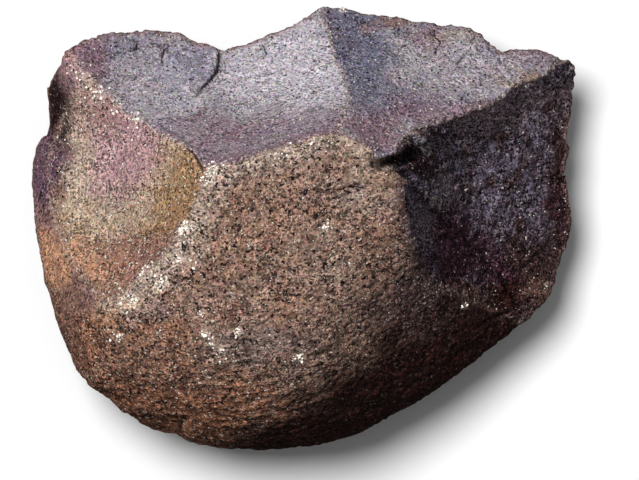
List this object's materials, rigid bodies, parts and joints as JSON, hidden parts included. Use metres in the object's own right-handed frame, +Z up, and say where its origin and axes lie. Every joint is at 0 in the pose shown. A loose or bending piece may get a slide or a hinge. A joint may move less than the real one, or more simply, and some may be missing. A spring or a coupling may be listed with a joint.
{
  "type": "pebble tool",
  "caption": "Flaked quartzite cobble chopper: a rounded pitted heel for the palm and a scalloped cutting edge where large flakes were struck off one end.",
  "frame": {"origin": "middle of the stone's box, at the surface that it rests on", "axes": "+X across the cutting edge, +Y from the rounded heel to the cutting edge, +Z up out of the worked face; the stone lies on its back"},
  "size_m": [0.1051, 0.0856, 0.052],
  "materials": {
    "quartzite": "dull, pitted brown skin with close-grained grey-violet and ochre flake scars"
  },
  "bodies": {
    "root": {"pebble_tool": "quartzite"}
  },
  "joints": []
}
